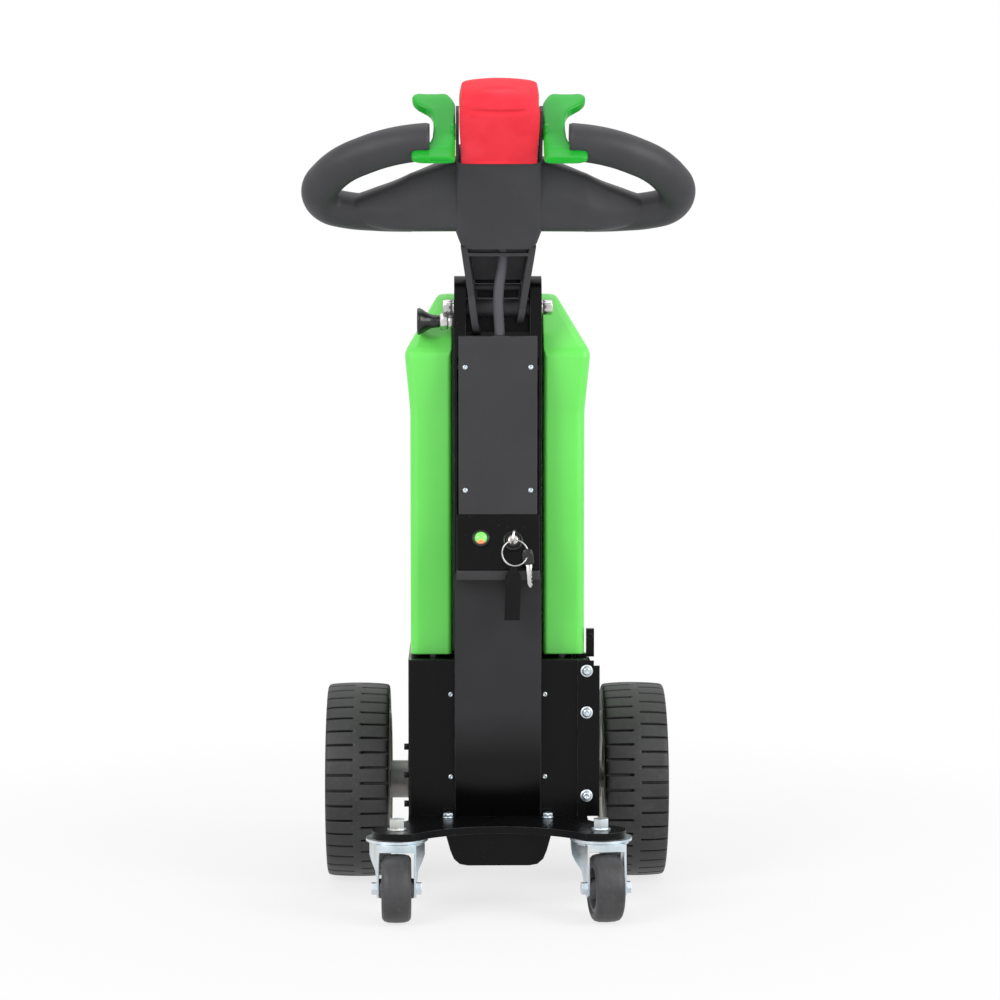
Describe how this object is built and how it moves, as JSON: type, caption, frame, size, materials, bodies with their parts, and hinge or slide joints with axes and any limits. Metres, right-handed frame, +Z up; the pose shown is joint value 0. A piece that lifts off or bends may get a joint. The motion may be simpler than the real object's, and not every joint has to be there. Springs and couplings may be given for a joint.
{
  "type": "electric tow tug",
  "caption": "Upright pedestrian electric tow tug with battery tower, driven wheels, swivelling casters, folding tiller and rear tow jaw.",
  "frame": {"origin": "on the floor, midway between the driven wheels' sides, at the middle of the overall length", "axes": "+X to the operator's right, +Y forward, away from the operator and towards the tow jaw, +Z up"},
  "size_m": [0.531, 0.5602, 1.1277],
  "materials": {
    "frame_black": "gloss black powder coat on folded sheet",
    "mast_grey": "dark grey satin powder coat",
    "cover_green": "bright green smooth coat on the battery cover",
    "zinc": "zinc plated steel, lightly worn",
    "steel": "bright machined steel",
    "rim_cream": "pale cream painted steel rim",
    "tyre_black": "black treaded tyre rubber",
    "caster_grey": "grey elastic caster tread",
    "caster_core_grey": "grey moulded wheel centre",
    "battery_dark": "dark battery case",
    "head_grey": "dark grey moulded tiller casing, fine grain",
    "pad_red": "soft red safety pad",
    "lever_green": "green moulded thumb lever",
    "knob_black": "black moulded pull knob",
    "lens_green": "green lamp lens",
    "strap_black": "black woven key strap",
    "cable_grey": "grey cable sheath"
  },
  "bodies": {
    "chassis": {"base_plate": "frame_black", "apron": "frame_black", "chassis_box": "frame_black", "side_bracket": "frame_black", "bracket_bolts": "zinc", "cover_latch": "frame_black", "gearmotor_left": "zinc", "gearmotor_right": "zinc", "motor_bolts": "zinc", "battery_block": "battery_dark", "battery_cover": "cover_green", "cover_feet": "knob_black", "hitch_jaw": "frame_black", "hitch_bolts": "zinc", "axle_ends": "zinc", "caster_races": "zinc", "mast": "frame_black", "lower_cover": "mast_grey", "upper_cover": "mast_grey", "cover_screws": "zinc", "switch_housing": "frame_black", "lamp_bezel": "knob_black", "lamp_lens": "lens_green", "key_switch": "knob_black", "keys": "steel", "key_strap": "strap_black", "pivot_bolt": "steel", "plunger_body": "steel", "plunger_knob": "knob_black", "control_cable": "cable_grey"},
    "drive_wheel_left": {"drive_tyre_left": "tyre_black", "drive_rim_left": "rim_cream"},
    "drive_wheel_right": {"drive_tyre_right": "tyre_black", "drive_rim_right": "rim_cream"},
    "caster_swivel_left": {"caster_fork_left": "zinc", "caster_axle_left": "zinc"},
    "caster_swivel_right": {"caster_fork_right": "zinc", "caster_axle_right": "zinc"},
    "caster_wheel_left": {"caster_tyre_left": "caster_grey", "caster_core_left": "caster_core_grey"},
    "caster_wheel_right": {"caster_tyre_right": "caster_grey", "caster_core_right": "caster_core_grey"},
    "tiller": {"tiller_arm": "head_grey", "tiller_head": "head_grey", "belly_pad": "pad_red", "grip_left": "head_grey", "grip_right": "head_grey", "thumb_lever_left": "lever_green", "thumb_lever_right": "lever_green"}
  },
  "joints": [
    {"name": "drive_spin_left", "type": "hinge", "parent": "chassis", "child": "drive_wheel_left", "pos_m": [-0.198, 0.095, 0.14], "axis": [1, 0, 0], "continuous": true},
    {"name": "caster_swivel_left", "type": "hinge", "parent": "chassis", "child": "caster_swivel_left", "pos_m": [-0.138, -0.2, 0.107], "axis": [0, 0, 1], "continuous": true},
    {"name": "caster_roll_left", "type": "hinge", "parent": "caster_swivel_left", "child": "caster_wheel_left", "pos_m": [-0.138, -0.235, 0.046], "axis": [1, 0, 0], "continuous": true},
    {"name": "drive_spin_right", "type": "hinge", "parent": "chassis", "child": "drive_wheel_right", "pos_m": [0.198, 0.095, 0.14], "axis": [1, 0, 0], "continuous": true},
    {"name": "caster_swivel_right", "type": "hinge", "parent": "chassis", "child": "caster_swivel_right", "pos_m": [0.138, -0.2, 0.107], "axis": [0, 0, 1], "continuous": true},
    {"name": "caster_roll_right", "type": "hinge", "parent": "caster_swivel_right", "child": "caster_wheel_right", "pos_m": [0.14287, -0.23466, 0.046], "axis": [0.9903, 0.1392, 0], "continuous": true},
    {"name": "tiller_tilt", "type": "hinge", "parent": "chassis", "child": "tiller", "pos_m": [0, -0.0805, 0.824], "axis": [1, 0, 0], "range_deg": [-45, 30], "deforming": ["control_cable"]}
  ]
}
